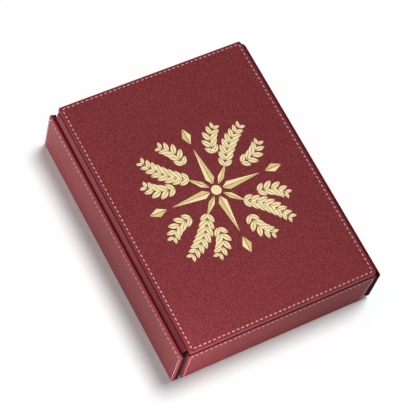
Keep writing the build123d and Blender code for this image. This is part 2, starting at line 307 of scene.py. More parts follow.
def leatherMaterial(name, node, faceAxis, seamInset, specular, painted=None, paintedSheenAmount=0.0):
    # painted is an axis, the place where the paint is full, the place where it starts, and a colour:
    # edge paint, or painted shade where an edge lies in shade
    look = leatherLook
    low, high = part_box(node)
    half = (high - low) / 2
    half[faceAxis] = farAxis
    material, tree, shader, place = newMaterial(name, {"Specular IOR Level": specular})
    grain = placeGrain(tree, place)
    border = addNode(tree, "ShaderNodeGroup", {
        "Vector": place["Object"], "Centre": (low + high) / 2, "Half Size": half,
        "Seam Inset": seamInset,
    }, node_tree=borderGroup).outputs
    tone = addShares(tree, grain["Tone"], grain["Cloud"], look["toneShare"])
    colour = mixColour(tree, tone, look["deep"], look["light"])
    # painted sheen: the paler colour mixed in on the sides
    colour = mixColour(tree, paintedSheenAmount, colour, look["paintedSheen"])
    rim = addMath(tree, "MULTIPLY", border["Rim"], look["rimShare"])
    colour = mixColour(tree, rim, colour, look["rim"])
    # darker along the sewn line: painted shade in the pressed stitch channel
    line = addMath(tree, "MULTIPLY", border["Seam"], look["seamShadeShare"])
    colour = mixColour(tree, line, colour, look["seam"])
    roughness = addRange(tree, grain["Tone"], 0.0, 1.0, *look["roughness"])
    if painted is not None:
        axis, full, start, paintOrShadeColour = painted
        height = splitAxes(tree, place["Object"])[axis]
        coverage = addRange(tree, height, min(full, start), max(full, start),
                            float(full < start), float(full > start))
        colour = mixColour(tree, coverage, colour, look[paintOrShadeColour])
        roughness = addNode(tree, "ShaderNodeMix", {
            0: coverage, 2: roughness, 3: look["paintRoughness"],
        }).outputs[0]
    pressed = addMath(tree, "MULTIPLY", border["Seam"], look["seamDepth"])
    giveSurface(tree, shader, colour, addMath(tree, "SUBTRACT", grain["Height"], pressed),
                look["grainHeight"], look["bump"])
    tree.links.new(roughness, shader.inputs["Roughness"])
    dress([node], material)


seamInsets = {"lid": 2.6 * mm, "wall": 3.0 * mm}
gloss = {"lid": 0.09, "spine": 0.11, "wall": 0.05, "flap": 0.04}
paintedSheenShares = {"spine": 0.07, "wall": 0.01}  # the sides get a painted sheen, a paler colour mixed in
# how far in from a face the flap's dark edge paint, and the painted shade at the other edges, is
# full, and where it starts
edgePaintAndShadeStops = {"flap": (0.5 * mm, 0.45 * mm), "panel": (0.15 * mm, 0.6 * mm),
             "spine": (0.4 * mm, 1.9 * mm), "lid": (0.5 * mm, 1.2 * mm)}


def paintedFrom(face, axis, inward, stops, colour):
    return axis, face + inward * stops[0], face + inward * stops[1], colour


# the flap's cut edges are painted dark; the edges that lie beside the gaps get painted shade: the
# lid's lower edge, the panels' tops and the spine's inner top edge
flapPaint = paintedFrom(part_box("flap_cover")[1].x, xAxis, -1, edgePaintAndShadeStops["flap"], "edgePaint")
panelPaintedShade = paintedFrom(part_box("front_panel_cover")[1].z, zAxis, -1, edgePaintAndShadeStops["panel"], "paintedShade")
spinePaintedShade = paintedFrom(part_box("spine_cover")[1].x, xAxis, -1, edgePaintAndShadeStops["spine"], "paintedShade")
lidPaintedShade = paintedFrom(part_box("lid_cover")[0].z, zAxis, 1, edgePaintAndShadeStops["lid"], "paintedShade")

leatherMaterial("leatherLid", "lid_cover", zAxis, seamInsets["lid"], gloss["lid"], lidPaintedShade)
leatherMaterial("leatherSpine", "spine_cover", xAxis, seamInsets["wall"], gloss["spine"],
                spinePaintedShade, paintedSheenShares["spine"])
leatherMaterial("leatherFrontPanel", "front_panel_cover", yAxis, seamInsets["wall"],
                gloss["wall"], panelPaintedShade, paintedSheenShares["wall"])
leatherMaterial("leatherBackPanel", "back_panel_cover", yAxis, seamInsets["wall"],
                gloss["wall"], panelPaintedShade, paintedSheenShares["wall"])
leatherMaterial("leatherBase", "base_cover", zAxis, seamInsets["wall"], gloss["wall"])
leatherMaterial("leatherFlap", "flap_cover", xAxis, seamInsets["wall"], gloss["flap"],
                flapPaint)
# a rim of these boards shows round the lining, where the covers' leather is turned in over them
leatherMaterial("leatherLidRim", "lid_board", zAxis, seamInsets["wall"], gloss["wall"])
leatherMaterial("leatherFlapRim", "flap_board", xAxis, seamInsets["wall"], gloss["flap"])
print("stage: leather")


# boards, velvet, foam and magnets inside

velvetShader = {"Roughness": 0.95, "Sheen Weight": 0.35, "Sheen Roughness": 0.4,
                "Specular IOR Level": 0.2}
fibreLooks = {
    "blackVelvet": {
        "nodes": ["tray_lining", "drawer_lining", "lid_lining"],
        "dark": paint(16, 14, 15), "light": paint(40, 36, 38),
        "fibresPerMetre": 1600.0, "height": 0.2 * mm, "shader": velvetShader,
    },
    "flapVelvet": {
        "nodes": ["flap_lining"],
        "dark": paint(24, 10, 10), "light": paint(48, 22, 22),
        "fibresPerMetre": 1600.0, "height": 0.2 * mm,
        "shader": {"Roughness": 0.95, "Sheen Weight": 0.04, "Specular IOR Level": 0.04},
    },
    "dividerVelvet": {
        "nodes": ["dividers_long", "dividers_cross", "drawer_divider"],
        "dark": paint(18, 16, 17), "light": paint(46, 42, 44),
        "fibresPerMetre": 1800.0, "height": 0.15 * mm, "shader": velvetShader,
    },
    "blackPaper": {
        "nodes": ["shelf", "left_wall", "right_wall", "back_wall", "front_rail", "drawer_floor",
                  "drawer_left_side", "drawer_right_side", "drawer_inner_front", "drawer_back"],
        "dark": paint(14, 9, 11), "light": paint(30, 22, 25),
        "fibresPerMetre": 2200.0, "height": 0.04 * mm,
        "shader": {"Roughness": 0.85, "Specular IOR Level": 0.06},
    },
    "greyBoard": {
        "nodes": ["base_board", "spine_board", "back_panel_board", "front_panel_board"],
        "dark": paint(128, 122, 114), "light": paint(166, 160, 150),
        "fibresPerMetre": 1400.0, "height": 0.05 * mm, "shader": {"Roughness": 0.9},
    },
    "padFoam": {
        "nodes": ["tray_pad"],
        "dark": paint(52, 52, 54), "light": paint(78, 78, 80),
        "fibresPerMetre": 1200.0, "height": 0.3 * mm, "shader": {"Roughness": 0.95},
    },
    "nickelDisc": {
        "nodes": ["wall_magnets", "catch_magnets", "flap_magnets", "drawer_magnets"],
        "dark": paint(190, 190, 194), "light": paint(214, 213, 210),
        "fibresPerMetre": 3000.0, "height": 0.01 * mm,
        "shader": {"Roughness": 0.28, "Metallic": 1.0},
    },
}


def fibreMaterial(name, look):
    material, tree, shader, place = newMaterial(name, look["shader"])
    fibre = addNode(tree, "ShaderNodeGroup", {
        "Vector": place["Object"], "Fibres Per Metre": look["fibresPerMetre"],
    }, node_tree=fibreGroup).outputs
    tone = addShares(tree, fibre["Height"], fibre["Brushed"], fibreRule["napShare"])
    giveSurface(tree, shader, mixColour(tree, tone, look["dark"], look["light"]),
                fibre["Height"], look["height"], fibreRule["bump"])
    dress(look["nodes"], material)
    return material


insideFinishes = {name: fibreMaterial(name, look) for name, look in fibreLooks.items()}
print("stage: inside finishes")


# repeats: stitches and leaves are set out along rows by geometry nodes

def rowsObject(name, rows):
    # each row is its points, whether it closes, the way it faces and the size along it
    points, edges, facing, growth = [], [], [], []
    for path, closed, outward, sizes in rows:
        first = len(points)
        points += path
        edges += [(first + i, first + i + 1) for i in range(len(path) - 1)]
        if closed:
            edges.append((first + len(path) - 1, first))
        for size in sizes or [1.0] * len(path):
            facing += outward
            growth.append(size)
    mesh = bpy.data.meshes.new(name)
    mesh.from_pydata(points, edges, [])
    mesh.attributes.new("facing", "FLOAT_VECTOR", "POINT").data.foreach_set("vector", facing)
    mesh.attributes.new("growth", "FLOAT", "POINT").data.foreach_set("value", growth)
    return addObject(name, mesh)


def settle(rows, tree, values, body):
    # the nodes' result becomes a plain mesh that rides on its body
    modifier = rows.modifiers.new("repeat", "NODES")
    modifier.node_group = tree
    for item in tree.interface.items_tree:
        if item.item_type == "SOCKET" and item.in_out == "INPUT" and item.name in values:
            modifier[item.identifier] = values[item.name]
    bpy.context.view_layer.update()
    evaluated = rows.evaluated_get(bpy.context.evaluated_depsgraph_get())
    mesh = bpy.data.meshes.new_from_object(evaluated)
    rows.modifiers.remove(modifier)
    rows.data = mesh
    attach(rows, body)
    return rows


def rowSpots(tree, given):
    curve = addNode(tree, "GeometryNodeMeshToCurve", {0: given["Geometry"]}).outputs[0]
    spots = addNode(tree, "GeometryNodeCurveToPoints", {
        "Curve": curve, "Length": given["Pitch"],
    }, mode="LENGTH").outputs
    return curve, spots


def turnedAlong(tree, tangent, swing=None):
    along = addNode(tree, "FunctionNodeAlignRotationToVector", {"Vector": tangent}, axis="X")
    facing = addNode(tree, "GeometryNodeInputNamedAttribute", {"Name": "facing"},
                     data_type="FLOAT_VECTOR").outputs[0]
    upright = addNode(tree, "FunctionNodeAlignRotationToVector", {
        "Rotation": along.outputs[0], "Vector": facing,
    }, axis="Z", pivot_axis="X").outputs[0]
    if swing is None:
        return upright
    turn = addNode(tree, "FunctionNodeEulerToRotation", {0: swing}).outputs[0]
    return addNode(tree, "FunctionNodeRotateRotation", {"Rotation": upright, "Rotate By": turn},
                   rotation_space="LOCAL").outputs[0]


def madeReal(tree, shape, material):
    real = addNode(tree, "GeometryNodeRealizeInstances", {"Geometry": shape}).outputs[0]
    return addNode(tree, "GeometryNodeSetMaterial", {
        "Geometry": real, "Material": material,
    }).outputs[0]


def placed(tree, points, shape, rotation, material, scale=None):
    settings = {"Points": points, "Instance": shape, "Rotation": rotation}
    if scale is not None:
        settings["Scale"] = scale
    copies = addNode(tree, "GeometryNodeInstanceOnPoints", settings).outputs[0]
    return madeReal(tree, copies, material)


def joined(tree, parts):
    both = addNode(tree, "GeometryNodeJoinGeometry")
    for part in parts:
        tree.links.new(part, both.inputs[0])
    return both.outputs[0]


stitchShape = {
    "archSteps": 5,
    "threadSides": 6,
    "holeSides": 8,
    "holeDepth": 0.05 * mm,
    "endHeight": -0.6,  # of a stitch's ends over the leather, in thread widths
}
leafShape = {"edgeSteps": 8, "belly": 0.42, "weld": 0.01 * mm}


def makeStitchTree():
    tree, given, out = newGroup("stitchRow", "GeometryNodeTree", [
        ("INPUT", "Geometry", "NodeSocketGeometry", None),
        ("INPUT", "Pitch", floatSocket, 4.5 * mm),
        ("INPUT", "Stitch Length", floatSocket, 3.0 * mm),
        ("INPUT", "Thread Width", floatSocket, 0.7 * mm),
        ("INPUT", "Thread Rise", floatSocket, 0.5 * mm),
        ("INPUT", "Hole Radius", floatSocket, 0.3 * mm),
        ("INPUT", "Slant", floatSocket, 0.1),
        ("INPUT", "Wobble", floatSocket, 0.05),
        ("INPUT", "Seed", "NodeSocketInt", 7),
        ("INPUT", "Thread", "NodeSocketMaterial", None),
        ("INPUT", "Hole", "NodeSocketMaterial", None),
        ("OUTPUT", "Geometry", "NodeSocketGeometry", None),
    ])
    _, spots = rowSpots(tree, given)
    reach = addMath(tree, "MULTIPLY", given["Stitch Length"], 0.5)
    back = addMath(tree, "MULTIPLY", reach, -1.0)
    under = addMath(tree, "MULTIPLY", given["Thread Width"], stitchShape["endHeight"])
    arch = addNode(tree, "GeometryNodeCurveQuadraticBezier", {
        "Resolution": stitchShape["archSteps"],
        "Start": joinAxes(tree, x=back, z=under),
        "Middle": joinAxes(tree, z=given["Thread Rise"]),
        "End": joinAxes(tree, x=reach, z=under),
    }).outputs[0]
    ring = addNode(tree, "GeometryNodeCurvePrimitiveCircle", {
        "Resolution": stitchShape["threadSides"],
        "Radius": addMath(tree, "MULTIPLY", given["Thread Width"], 0.5),
    }).outputs[0]
    thread = addNode(tree, "GeometryNodeCurveToMesh", {
        "Curve": arch, "Profile Curve": ring, "Fill Caps": True,
    }).outputs[0]
    # a dark disc lies over each needle hole: painted shade of the hole
    holeShade = addNode(tree, "GeometryNodeMeshCylinder", {
        "Vertices": stitchShape["holeSides"], "Radius": given["Hole Radius"],
        "Depth": stitchShape["holeDepth"],
    }).outputs[0]
    between = addMath(tree, "MULTIPLY", given["Pitch"], 0.5)
    holeShade = addNode(tree, "GeometryNodeTransform", {
        "Geometry": holeShade, "Translation": joinAxes(tree, x=between),
    }).outputs[0]
    least = addMath(tree, "SUBTRACT", given["Slant"], given["Wobble"])
    most = addMath(tree, "ADD", given["Slant"], given["Wobble"])
    swing = addNode(tree, "FunctionNodeRandomValue", {
        "Seed": given["Seed"], 0: joinAxes(tree, z=least), 1: joinAxes(tree, z=most),
    }, data_type="FLOAT_VECTOR").outputs[0]
    threads = placed(tree, spots["Points"], thread, turnedAlong(tree, spots["Tangent"], swing),
                     given["Thread"])
    holeShades = placed(tree, spots["Points"], holeShade, turnedAlong(tree, spots["Tangent"]),
                   given["Hole"])
    tree.links.new(joined(tree, (holeShades, threads)), out.inputs["Geometry"])
    return tree


def makeLeafTree():
    tree, given, out = newGroup("leafSpray", "GeometryNodeTree", [
        ("INPUT", "Geometry", "NodeSocketGeometry", None),
        ("INPUT", "Pitch", floatSocket, 5.0 * mm),
        ("INPUT", "Leaf Length", floatSocket, 10.0 * mm),
        ("INPUT", "Leaf Bow", floatSocket, 4.0 * mm),
        ("INPUT", "Midrib", floatSocket, 0.2 * mm),
        ("INPUT", "Leaf Angle", floatSocket, 0.7),
        ("INPUT", "Foil Thickness", floatSocket, 0.1 * mm),
        ("INPUT", "Stem Width", floatSocket, 0.8 * mm),
        ("INPUT", "Foil", "NodeSocketMaterial", None),
        ("OUTPUT", "Geometry", "NodeSocketGeometry", None),
    ])
    stem, spots = rowSpots(tree, given)
    growth = addNode(tree, "GeometryNodeInputNamedAttribute", {"Name": "growth"},
                     data_type="FLOAT").outputs[0]
    belly = addMath(tree, "MULTIPLY", given["Leaf Length"], leafShape["belly"])
    halves = []
    for side in (1.0, -1.0):
        rib = addMath(tree, "MULTIPLY", given["Midrib"], side)
        bow = addMath(tree, "MULTIPLY", given["Leaf Bow"], side)
        half = addNode(tree, "GeometryNodeCurveQuadraticBezier", {
            "Resolution": leafShape["edgeSteps"],
            "Start": joinAxes(tree, y=rib),
            "Middle": joinAxes(tree, x=belly, y=bow),
            "End": joinAxes(tree, x=given["Leaf Length"], y=rib),
        }).outputs[0]
        closed = addNode(tree, "GeometryNodeSetSplineCyclic", {
            "Geometry": half, "Cyclic": True,
        }).outputs[0]
        halves.append(addNode(tree, "GeometryNodeFillCurve", {0: closed}, mode="NGONS").outputs[0])
    flat = joined(tree, halves)
    top = addNode(tree, "GeometryNodeExtrudeMesh", {
        "Mesh": flat, "Offset Scale": given["Foil Thickness"],
    }).outputs[0]
    bottom = addNode(tree, "GeometryNodeFlipFaces", {"Mesh": flat}).outputs[0]
    leaf = addNode(tree, "GeometryNodeMergeByDistance", {
        "Geometry": joined(tree, (top, bottom)), "Distance": leafShape["weld"],
    }).outputs[0]
    parts = []
    for side in (1.0, -1.0):
        swing = joinAxes(tree, z=addMath(tree, "MULTIPLY", given["Leaf Angle"], side))
        parts.append(placed(tree, spots["Points"], leaf,
                            turnedAlong(tree, spots["Tangent"], swing), given["Foil"], growth))
    strap = addNode(tree, "GeometryNodeCurvePrimitiveQuadrilateral", {
        "Width": given["Foil Thickness"], "Height": given["Stem Width"],
    }).outputs[0]
    ribbon = addNode(tree, "GeometryNodeCurveToMesh", {
        "Curve": stem, "Profile Curve": strap, "Fill Caps": True,
    }).outputs[0]
    parts.append(madeReal(tree, ribbon, given["Foil"]))
    tree.links.new(joined(tree, parts), out.inputs["Geometry"])
    return tree


# stitching

threadLook = {
    "pink": (paint(198, 134, 130), paint(238, 188, 180)),
    # the needle holes are dark discs: painted shade of the holes
    "holeShade": (paint(66, 10, 18), paint(88, 20, 28)),
    "shader": {"Roughness": 0.7, "Sheen Weight": 0.2},
    "twistPerMetre": 1800.0,
    "detail": 3.0,
    "twistHeight": 0.1 * mm,
    "bump": 0.5,
}


def threadMaterial(name, dark, light):
    material, tree, shader, place = newMaterial(name, threadLook["shader"])
    twist = addNoise(tree, place["Object"], threadLook["twistPerMetre"], threadLook["detail"])
    giveSurface(tree, shader, mixColour(tree, twist, dark, light), twist,
                threadLook["twistHeight"], threadLook["bump"])
    return material


stitchRun = {
    "Pitch": 4.5 * mm,
    "Stitch Length": 3.25 * mm,
    "Thread Width": 1.02 * mm,
    "Thread Rise": 0.25 * mm,
    "Hole Radius": 0.32 * mm,
    "Slant": 0.12,
    "Wobble": 0.05,
    "Seed": 7,
    "Thread": threadMaterial("threadPink", *threadLook["pink"]),
    "Hole": threadMaterial("needleHoleShade", *threadLook["holeShade"]),
}
seam = {
    "lidCorner": 2.2 * mm,
    "spineEndInset": 1.5 * mm,
    "flapEndInset": 1.7 * mm,
    "spineTopInset": 3.8 * mm,
    "panelTopInset": 4.4 * mm,
    "foot": 3.0 * mm,
    "cornerSteps": 6,
    "panelCorner": 2.4 * mm,
    "panelLean": 3.0 * mm,
}


def roundedRow(corners, radius, closed):
    # a curve cuts inside each corner, from the radius before it to the radius after it
    path, count, steps = [], len(corners), seam["cornerSteps"]
    for i, corner in enumerate(corners):
        here = Vector(corner)
        if not closed and i in (0, count - 1):
            path.append(tuple(here))
            continue
        before = (Vector(corners[i - 1]) - here).normalized() * radius
        after = (Vector(corners[(i + 1) % count]) - here).normalized() * radius
        for step in range(steps + 1):
            t = step / steps
            path.append(tuple(here + before * (1 - t) ** 2 + after * t ** 2))
    return path


def wallRow(node, axis, facing, topInset, endInsets, lean=0.0):
    # up one end, along the top and down the other, leaning in: the foot has no stitches
    low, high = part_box(node)
    along = yAxis if axis == xAxis else xAxis
    flat = high[axis] if facing[axis] > 0 else low[axis]
    start, end = low[along] + endInsets[0], high[along] - endInsets[1]
    foot, top = low.z + seam["foot"], high.z - topInset
    corners = []
    for place, height in ((start, foot), (start, top), (end, top), (end - lean, foot)):
        corner = [0.0, 0.0, height]
        corner[axis], corner[along] = flat, place
        corners.append(corner)
    return roundedRow(corners, seam["panelCorner"], False), False, facing, None


def plateRow(node, axis, facing, inset):
    low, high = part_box(node)
    flat = high[axis] if facing[axis] > 0 else low[axis]
    first, second = [a for a in (xAxis, yAxis, zAxis) if a != axis]
    corners = []
    for a, b in ((0, 0), (1, 0), (1, 1), (0, 1)):
        corner = [0.0, 0.0, 0.0]
        corner[axis] = flat
        corner[first] = (low[first] + inset, high[first] - inset)[a]
        corner[second] = (low[second] + inset, high[second] - inset)[b]
        corners.append(corner)
    return roundedRow(corners, seam["lidCorner"], True), True, facing, None


def panelRow(node, facing):
    ends = (seamInsets["wall"], seam["flapEndInset"])
    return wallRow(node, yAxis, facing, seam["panelTopInset"], ends, seam["panelLean"])


stitchTree = makeStitchTree()
spineEnds = (seam["spineEndInset"], seam["spineEndInset"])
stitchRows = {
    "stitchesLid": ("lid", [plateRow("lid_cover", zAxis, (0, 0, 1), seamInsets["lid"])]),
    "stitchesChest": ("chest", [
        wallRow("spine_cover", xAxis, (-1, 0, 0), seam["spineTopInset"], spineEnds),
        panelRow("back_panel_cover", (0, 1, 0)),
    ]),
    "stitchesDrawer": ("drawer", [panelRow("front_panel_cover", (0, -1, 0))]),
    "stitchesFlap": ("flap", [plateRow("flap_cover", xAxis, (1, 0, 0), seamInsets["wall"])]),
}
for name, (body, rows) in stitchRows.items():
    stitched = settle(rowsObject(name, rows), stitchTree, stitchRun, body)
    print("stage:", name, len(stitched.data.polygons), "faces")


# gold foil on the lid: a compass star, with lozenges beyond its long points and leaf sprays
# between them

foilLook = {
    "bright": (paint(226, 204, 140), paint(252, 240, 196), 0.34),
    "dull": (paint(200, 172, 104), paint(236, 214, 156), 0.42),
    "metallic": 0.75,
    "cracklePerMetre": 420.0,
    "detail": 6.0,
    "crackleHeight": 0.12 * mm,
    "bump": 0.5,
}


def foilMaterial(name, dark, light, roughness):
    material, tree, shader, place = newMaterial(name, {
        "Metallic": foilLook["metallic"], "Roughness": roughness,
    })
    crackle = addNoise(tree, place["Object"], foilLook["cracklePerMetre"], foilLook["detail"])
    giveSurface(tree, shader, mixColour(tree, crackle, dark, light), crackle,
                foilLook["crackleHeight"], foilLook["bump"])
    return material


foilBright = foilMaterial("foilBright", *foilLook["bright"])
foilDull = foilMaterial("foilDull", *foilLook["dull"])

emblem = {
    "pointReach": (43 * mm, 27 * mm),  # of a long point and of a short one
    "pointWaist": (7.5 * mm, 4.65 * mm),
    "pointShoulder": (1.9, 2.15),  # how many times as far out as the point's start
    "points": 8,
    "tipShare": 0.4,
    "hub": 4.6 * mm,
    "hubGap": 1.6 * mm,
    "hubSides": 24,
    "split": 0.3 * mm,
    "foil": 0.1 * mm,
    "quarters": 4,
    "lozengeReach": (48 * mm, 64 * mm),
    "lozengeWidth": 4.2 * mm,
    "longSpray": (25 * mm, 66 * mm),
    "sideSpray": (36 * mm, 60 * mm),
    "sideAngle": 20.0,
    "sway": 3.0 * mm,
    "stemSteps": 18,
    "stemLift": 0.1,
    "leafSize": (0.55, 0.45),  # the least, and what the largest leaf adds
    "leafPhase": (0.25, 0.7),  # where a spray starts on half a wave, and how far it goes
}
leafRun = {
    "Pitch": 5.2 * mm,
    "Leaf Length": 10.5 * mm,
    "Leaf Bow": 4.8 * mm,
    "Midrib": 0.22 * mm,
    "Leaf Angle": 0.72,
    "Foil Thickness": emblem["foil"],
    "Stem Width": 0.8 * mm,
    "Foil": foilBright,
}
lidLow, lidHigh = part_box("lid_cover")
lidCentre = Vector(((lidLow.x + lidHigh.x) / 2, (lidLow.y + lidHigh.y) / 2, lidHigh.z))


def addPrism(mesh, outline, origin, across, up, thickness, finish=0):
    # closed flat plate of that outline, standing out of the face spanned by across and up
    outward = across.cross(up) * thickness
    low = [mesh.verts.new(origin + across * a + up * b) for a, b in outline]
    high = [mesh.verts.new(vertex.co + outward) for vertex in low]
    faces = [mesh.faces.new(high), mesh.faces.new(low[::-1])]
    for i in range(len(low)):
        j = (i + 1) % len(low)
        faces.append(mesh.faces.new((low[i], low[j], high[j], high[i])))
    for face in faces:
        face.material_index = finish


def turned(points, degrees):
    c, s = math.cos(math.radians(degrees)), math.sin(math.radians(degrees))
    return [(x * c - y * s, x * s + y * c) for x, y in points]


def makeStar():
    mesh = bmesh.new()
    across, up = Vector((1, 0, 0)), Vector((0, 1, 0))
    gap, start = emblem["split"], emblem["hub"] + emblem["hubGap"]

    def addFoil(outline, degrees=0.0, finish=0):
        addPrism(mesh, turned(outline, degrees), lidCentre, across, up, emblem["foil"], finish)

    for i in range(emblem["points"]):
        kind = i % 2  # long and short points take turns
        tip, waist = emblem["pointReach"][kind], emblem["pointWaist"][kind]
        shoulder = start * emblem["pointShoulder"][kind]
        for side, finish in ((1, 0), (-1, 1)):
            addFoil([(start, side * gap), (shoulder, side * (waist / 2 + gap)),
                     (tip, side * gap * emblem["tipShare"])], 360 / emblem["points"] * i, finish)
    near, far = emblem["lozengeReach"]
    middle = (near + far) / 2
    for i in range(emblem["quarters"]):
        for side, finish in ((1, 1), (-1, 0)):
            addFoil([(near, side * gap), (middle, side * emblem["lozengeWidth"]),
                     (far, side * gap)], 360 / emblem["quarters"] * i, finish)
    sides = emblem["hubSides"]
    addFoil([(emblem["hub"] * math.cos(2 * math.pi * i / sides),
              emblem["hub"] * math.sin(2 * math.pi * i / sides)) for i in range(sides)])
    finishMesh("emblemStar", mesh, [foilBright, foilDull], "lid")


def sprayRow(degrees, reach, bend):
    (least, more), (phase, run) = emblem["leafSize"], emblem["leafPhase"]
    path, sizes = [], []
    for i in range(emblem["stemSteps"] + 1):
        t = i / emblem["stemSteps"]
        along = reach[0] + (reach[1] - reach[0]) * t
        side = bend * math.sin(math.pi * t)
        (x, y), = turned([(along, side)], degrees)
        height = lidCentre.z + emblem["foil"] * emblem["stemLift"]
        path.append((lidCentre.x + x, lidCentre.y + y, height))
        sizes.append(least + more * math.sin(math.pi * min(1.0, phase + run * t)))
    return path, False, (0, 0, 1), sizes


makeStar()
sprays = []
for quarter in range(emblem["quarters"]):
    diagonal = 360 / emblem["quarters"] * (quarter + 0.5)
    sprays.append(sprayRow(diagonal, emblem["longSpray"], emblem["sway"]))
    for side in (-1, 1):
        sprays.append(sprayRow(diagonal + side * emblem["sideAngle"], emblem["sideSpray"],
                               side * emblem["sway"]))
leaves = settle(rowsObject("emblemLeaves", sprays), makeLeafTree(), leafRun, "lid")
print("stage: emblem", len(leaves.data.polygons), "leaf faces")


# blind stamp on the spine: a row of lozenges pressed into the leather

stamp = {
    "count": 5,
    "pitch": 11 * mm,
    "half": (5.0 * mm, 8.0 * mm),
    "stroke": 0.8 * mm,
    "inner": 0.4,
    "thickness": 0.04 * mm,
    "dark": paint(98, 30, 38),
    "light": paint(114, 38, 47),
    "roughness": (0.4, 0.55),
    "gloss": 0.5,
}


def makeStamp():
    material, tree, shader, place = newMaterial("pressedLeather", {
        "Specular IOR Level": stamp["gloss"],
    })
    tone = placeGrain(tree, place)["Tone"]
    tree.links.new(mixColour(tree, tone, stamp["dark"], stamp["light"]),
                   shader.inputs["Base Color"])
    tree.links.new(addRange(tree, tone, 0.0, 1.0, *stamp["roughness"]),
                   shader.inputs["Roughness"])
    low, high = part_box("spine_cover")
    across, up = Vector((0, -1, 0)), Vector((0, 0, 1))
    middle = Vector((low.x, (low.y + high.y) / 2, (low.z + high.z) / 2))
    wide, tall = stamp["half"]
    share = 1 - stamp["stroke"] / wide
    outer = [(wide, 0), (0, tall), (-wide, 0), (0, -tall)]
    core = [(x * stamp["inner"], y * stamp["inner"]) for x, y in outer]
    mesh = bmesh.new()
    for i in range(stamp["count"]):
        origin = middle + across * (i - (stamp["count"] - 1) / 2) * stamp["pitch"]
        for a, b in zip(outer, outer[1:] + outer[:1]):
            stroke = [a, b, (b[0] * share, b[1] * share), (a[0] * share, a[1] * share)]
            addPrism(mesh, stroke, origin, across, up, stamp["thickness"])
        addPrism(mesh, core, origin, across, up, stamp["thickness"])
    finishMesh("spineStamp", mesh, [material], "chest")


makeStamp()
print("stage: spine stamp")


# soft strips across the hinges

strip = {
    "thickness": 0.6 * mm,
    "legThickness": 0.08 * mm,
    "legSteps": 3,
    "spineGap": 0.1 * mm,
    "lip": 1.1 * mm,
    "lipRound": 0.2 * mm,
    "floorRise": 0.3 * mm,
    "bow": 0.35,
    "held": 0.2,
    "across": 13,
    "endGap": 1.5 * mm,
    "alongStep": 0.3 * mm,
    "wrinkleHeight": 0.17 * mm,
    "wrinklesPerMetre": 560.0,
    "wander": 1.3,
    "wanderPerMetre": 70.0,
    "slant": 0.9,
    # the wrinkles' colours, dark in the troughs and light on the crests: painted shade and highlight
    "dark": paint(84, 32, 38),
    "light": paint(148, 82, 88),
    # painted shade in the groove at the spine and over the lip on its top
    "inner": paint(92, 0, 8),
    "innerShadeOrHighlightSpan": (0.36, 0.46),
    # painted shade under the lid's left edge
    "outer": paint(76, 8, 16),
    "outerShadeSpan": (0.84, 0.96),
    "outerShadeShare": 0.35,
    "nearEndShade": paint(64, 10, 16),  # painted shade, darker towards the drawer's front
    "nearEndShadeSpan": (-0.125, 0.02),
    "nearEndShadeShare": 0.66,
    "shader": {"Roughness": 0.7, "Specular IOR Level": 0.05},
}
fold = {
    "thickness": 0.8 * mm,
    "across": 12,
    "alongStep": 2.5 * mm,
    "wrinkleHeight": 0.05 * mm,
    "wrinklesPerMetre": 60.0,
    "wander": 1.0,
    "wanderPerMetre": 15.0,
    "slant": 0.5,
    "bulge": 0.9 * mm,
    "sunk": 0.25,  # its edges lie this share of the bulge inside
    # the fold's leather is a darker copy of the lid's: painted shade, with a painted highlight on
    # its lit ridge by the lid and deeper painted shade on its far side
    "dark": paint(66, 2, 12),
    "light": paint(84, 4, 18),
    "inner": paint(96, 20, 30),
    "innerShadeOrHighlightSpan": (0.0, 0.2),
    "outer": paint(50, 0, 8),
    "outerShadeSpan": (0.6, 1.0),
    "outerShadeShare": 0.4,
    "nearEndShade": paint(56, 2, 10),
    "nearEndShadeSpan": (-0.12, 0.0),
    "nearEndShadeShare": 0.3,
    "shader": {"Roughness": 0.8, "Specular IOR Level": 0.04},
}
bandRule = {
    "finePerMetre": 1400.0,
    "detail": 3.0,
    "fineHeight": 0.1 * mm,
    "bump": 0.5,
    "crestShadeShare": 0.75,
    "wanderSlice": 4.0,  # the slice of the noise that the wrinkles wander by
}


def bandMaterial(name, look):
    # v of the map runs across the band, u along it, and crest is how high a wrinkle stands there
    material, tree, shader, place = newMaterial(name, look["shader"])
    crest = addNode(tree, "ShaderNodeAttribute", attribute_name="crest").outputs["Fac"]
    fine = addNoise(tree, place["Object"], bandRule["finePerMetre"], bandRule["detail"])
    along, across, _ = splitAxes(tree, place["UV"])
    # lighter on the wrinkles' crests and darker in their troughs: painted highlight and shade
    tone = addShares(tree, crest, fine, bandRule["crestShadeShare"])
    colour = mixColour(tree, tone, look["dark"], look["light"])
    # painted shade, darker towards the drawer's front
    nearEndShade = addRange(tree, along, *look["nearEndShadeSpan"], look["nearEndShadeShare"], 0.0, smooth=True)
    colour = mixColour(tree, nearEndShade, colour, look["nearEndShade"])
    # darker towards the outer edge: painted shade
    outer = addRange(tree, across, *look["outerShadeSpan"], 0.0, look["outerShadeShare"], smooth=True)
    colour = mixColour(tree, outer, colour, look["outer"])
    # by the inner edge: painted shade in the hinge's groove, a painted highlight on the fold's ridge
    # by the lid
    depth = addRange(tree, across, *look["innerShadeOrHighlightSpan"], 1.0, 0.0, smooth=True)
    colour = mixColour(tree, depth, colour, look["inner"])
    giveSurface(tree, shader, colour, fine, bandRule["fineHeight"], bandRule["bump"])
    return material


